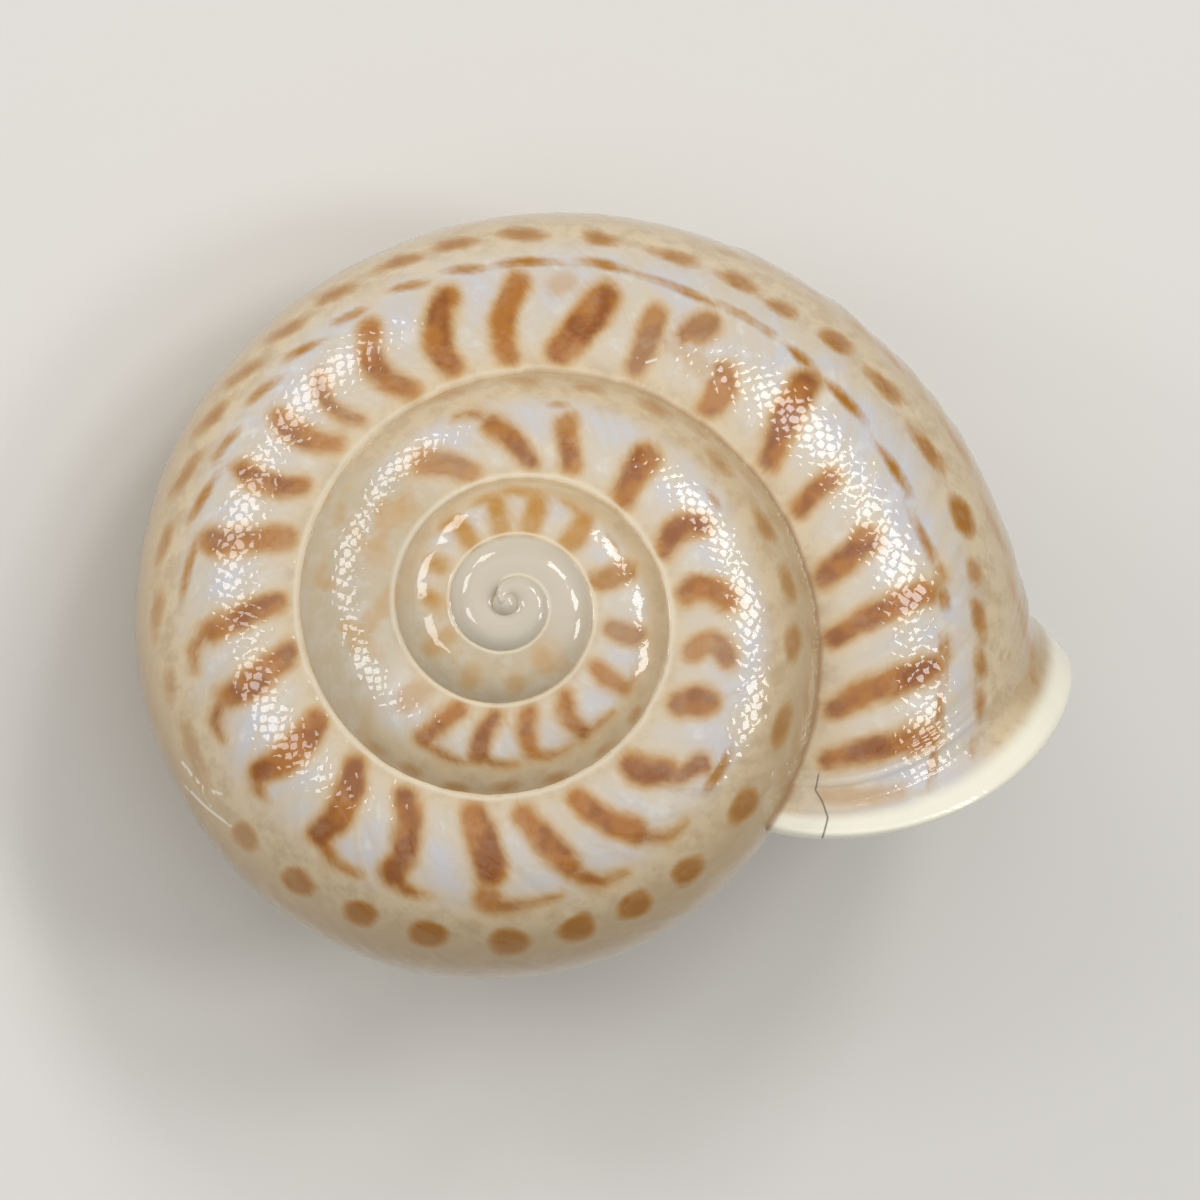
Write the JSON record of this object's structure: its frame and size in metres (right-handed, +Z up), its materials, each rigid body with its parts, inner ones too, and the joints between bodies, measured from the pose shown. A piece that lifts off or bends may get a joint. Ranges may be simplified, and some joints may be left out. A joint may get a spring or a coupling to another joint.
{
  "type": "land snail shell",
  "caption": "Empty right-handed snail shell with a low spire, patterned whorls and a wide mouth with a turned-out lip.",
  "frame": {"origin": "centre of the bounding box at floor level, with the shell at rest on its lip and base", "axes": "+Z up from the floor it rests on, +X along the greatest width, from the far side of the last whorl towards the lip"},
  "size_m": [0.0262, 0.0216, 0.0141],
  "materials": {
    "shell": "satin, thin glossy outer skin over chalky shell"
  },
  "bodies": {
    "root": {"shell": "shell"}
  },
  "joints": []
}
